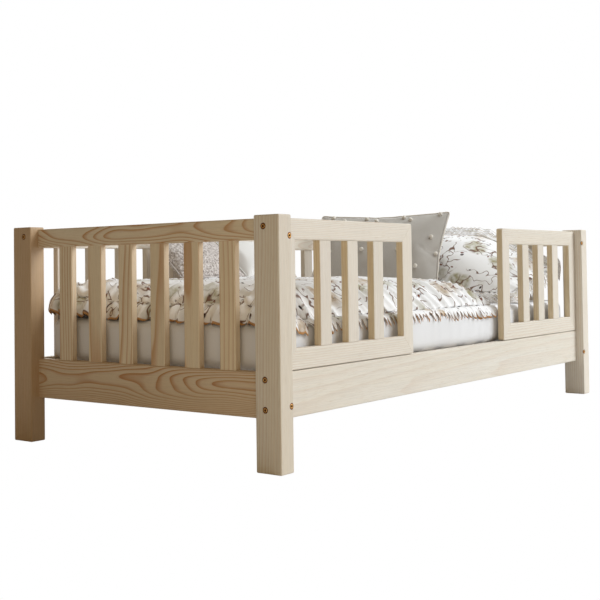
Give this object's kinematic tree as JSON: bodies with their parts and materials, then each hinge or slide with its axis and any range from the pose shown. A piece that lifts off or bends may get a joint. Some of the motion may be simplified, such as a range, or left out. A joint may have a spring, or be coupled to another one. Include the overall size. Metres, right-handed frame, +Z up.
{
  "type": "toddler bed",
  "caption": "Low pine toddler bed with slatted ends and back, a front side with two guards and an entry gap, slatted base, mattress and bedding.",
  "frame": {"origin": "on the floor, under the middle of the bed's bounding box", "axes": "+X from the foot end to the head end, +Z up, the front side with the entry gap faces -Y"},
  "size_m": [1.7, 0.9, 0.6315],
  "materials": {
    "pine": "planed, fine-sanded, clear matt oil",
    "base_pine": "planed, raw",
    "bolt_bronze": "dark bronze plating, satin",
    "mattress_cover": "white fitted cotton sheet",
    "printed_cotton": "soft cotton muslin with a small scattered sprig print",
    "grey_knit": "fine knit, warm grey",
    "cream_wool": "wool pom-poms and piping",
    "boucle_cloth": "looped boucle",
    "white_cotton": "plain washed cotton"
  },
  "bodies": {
    "frame": {"post_foot_front": "pine", "post_foot_back": "pine", "post_head_front": "pine", "post_head_back": "pine", "foot_bottom_rail": "pine", "foot_top_rail": "pine", "foot_slat_1": "pine", "foot_slat_2": "pine", "foot_slat_3": "pine", "foot_slat_4": "pine", "foot_slat_5": "pine", "foot_slat_6": "pine", "head_bottom_rail": "pine", "head_top_rail": "pine", "head_slat_1": "pine", "head_slat_2": "pine", "head_slat_3": "pine", "head_slat_4": "pine", "head_slat_5": "pine", "head_slat_6": "pine", "back_bottom_rail": "pine", "back_top_rail": "pine", "back_slat_01": "pine", "back_slat_02": "pine", "back_slat_03": "pine", "back_slat_04": "pine", "back_slat_05": "pine", "back_slat_06": "pine", "back_slat_07": "pine", "back_slat_08": "pine", "back_slat_09": "pine", "back_slat_10": "pine", "back_slat_11": "pine", "back_slat_12": "pine", "back_slat_13": "pine", "back_slat_14": "pine", "front_side_rail": "pine", "foot_guard_bottom_rail": "pine", "foot_guard_post_stile": "pine", "foot_guard_top_rail": "pine", "foot_guard_entry_stile": "pine", "foot_guard_slat_1": "pine", "foot_guard_slat_2": "pine", "foot_guard_slat_3": "pine", "head_guard_bottom_rail": "pine", "head_guard_post_stile": "pine", "head_guard_top_rail": "pine", "head_guard_entry_stile": "pine", "head_guard_slat_1": "pine", "head_guard_slat_2": "pine", "head_guard_slat_3": "pine", "front_ledge": "base_pine", "back_ledge": "base_pine", "slatted_base": "base_pine"},
    "mattress": {"mattress": "mattress_cover"},
    "duvet": {"duvet": "printed_cotton"},
    "pillow": {"pillow": "printed_cotton"},
    "pompom_cushion": {"pompom_cushion": "grey_knit"},
    "boucle_cushion": {"boucle_cushion": "boucle_cloth"},
    "white_cushion": {"white_cushion": "white_cotton"}
  },
  "joints": [
    {"name": "mattress_lift", "type": "slide", "parent": "frame", "child": "mattress", "axis": [0, 0, 1], "range_m": [0, 0.4]},
    {"name": "duvet_lift", "type": "slide", "parent": "mattress", "child": "duvet", "axis": [0, 0, 1], "range_m": [0, 0.3]},
    {"name": "pillow_lift", "type": "slide", "parent": "mattress", "child": "pillow", "axis": [0, 0, 1], "range_m": [0, 0.3]},
    {"name": "pompom_cushion_lift", "type": "slide", "parent": "pillow", "child": "pompom_cushion", "axis": [0, 0, 1], "range_m": [0, 0.3]},
    {"name": "boucle_cushion_lift", "type": "slide", "parent": "duvet", "child": "boucle_cushion", "axis": [0, 0, 1], "range_m": [0, 0.3]},
    {"name": "white_cushion_lift", "type": "slide", "parent": "duvet", "child": "white_cushion", "axis": [0, 0, 1], "range_m": [0, 0.3]}
  ]
}
